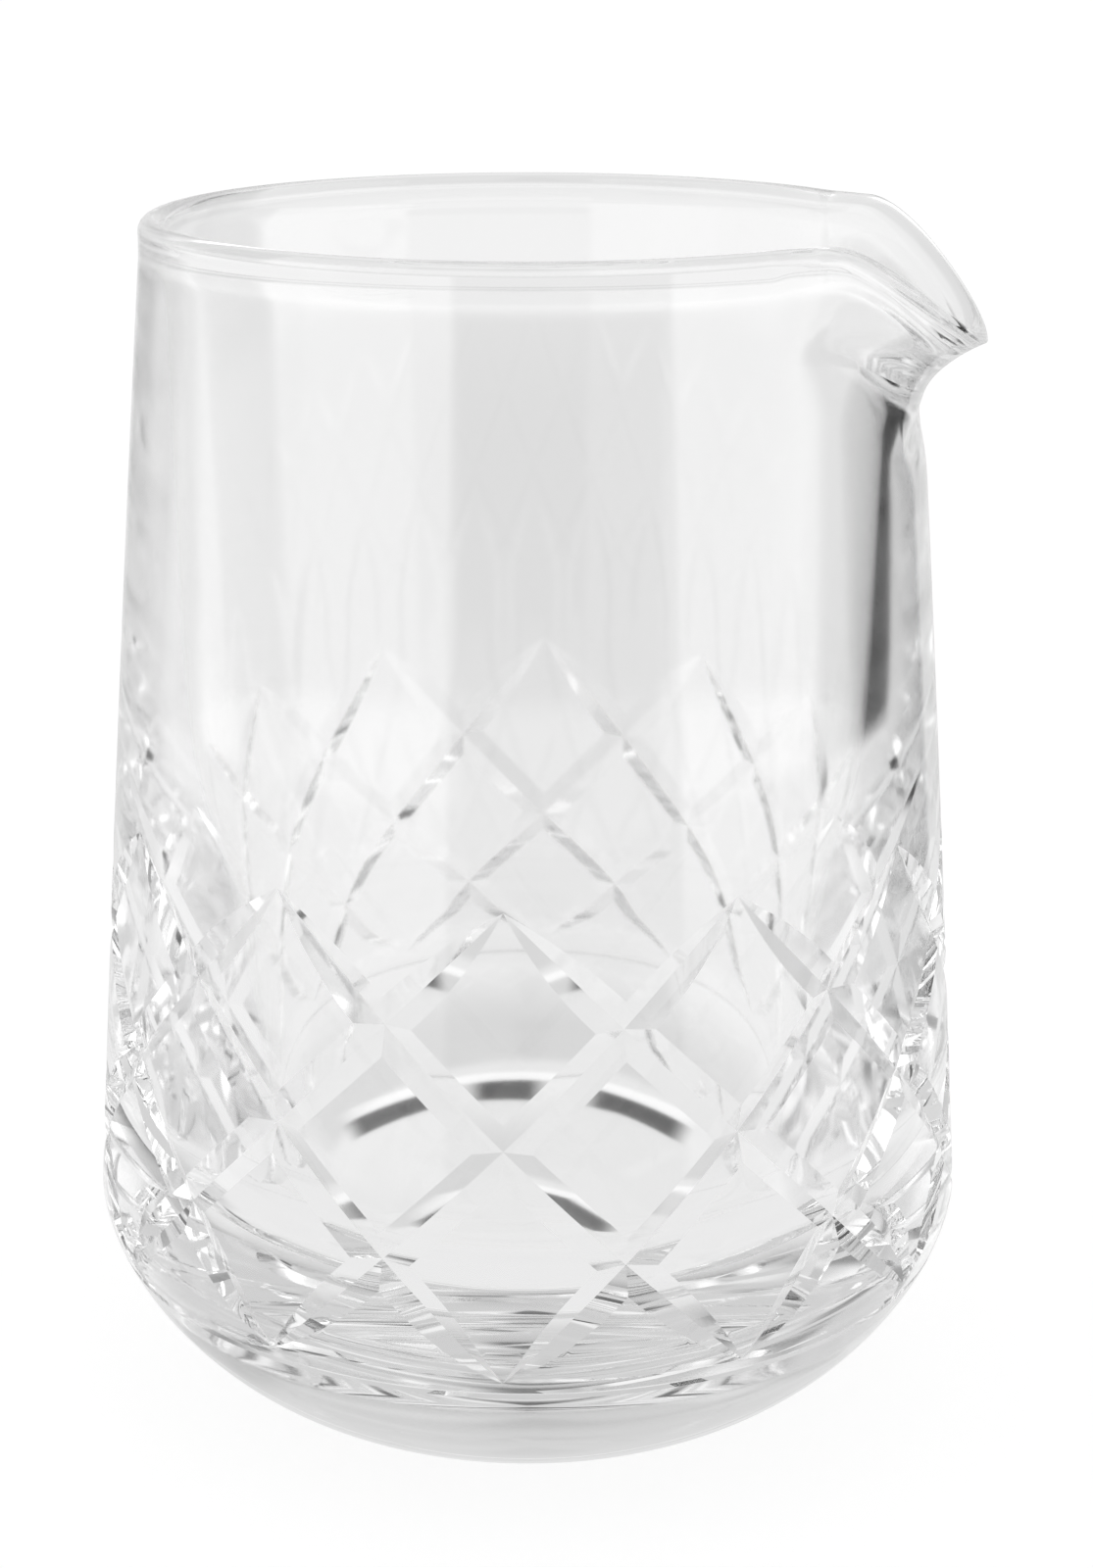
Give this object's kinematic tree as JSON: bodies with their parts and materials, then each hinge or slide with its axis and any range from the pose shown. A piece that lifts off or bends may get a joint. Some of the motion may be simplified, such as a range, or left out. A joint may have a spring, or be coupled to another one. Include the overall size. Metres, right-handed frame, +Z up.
{
  "type": "mixing glass",
  "caption": "Tapered clear mixing glass with a pulled pouring spout, crossing diamond-cut grooves round the lower wall and a solid rounded base, for stirring and pouring drinks.",
  "frame": {"origin": "centre of the flat underside, on the surface that the glass stands on", "axes": "+Z up along the axis of the glass, +X towards the pouring spout"},
  "size_m": [0.096, 0.096, 0.129],
  "materials": {
    "body_glass": "clear, fire polished, with ground and polished mitre cuts",
    "base_glass": "clear, polished, solid"
  },
  "bodies": {
    "root": {"glass_body": "body_glass", "glass_base": "base_glass"}
  },
  "joints": []
}
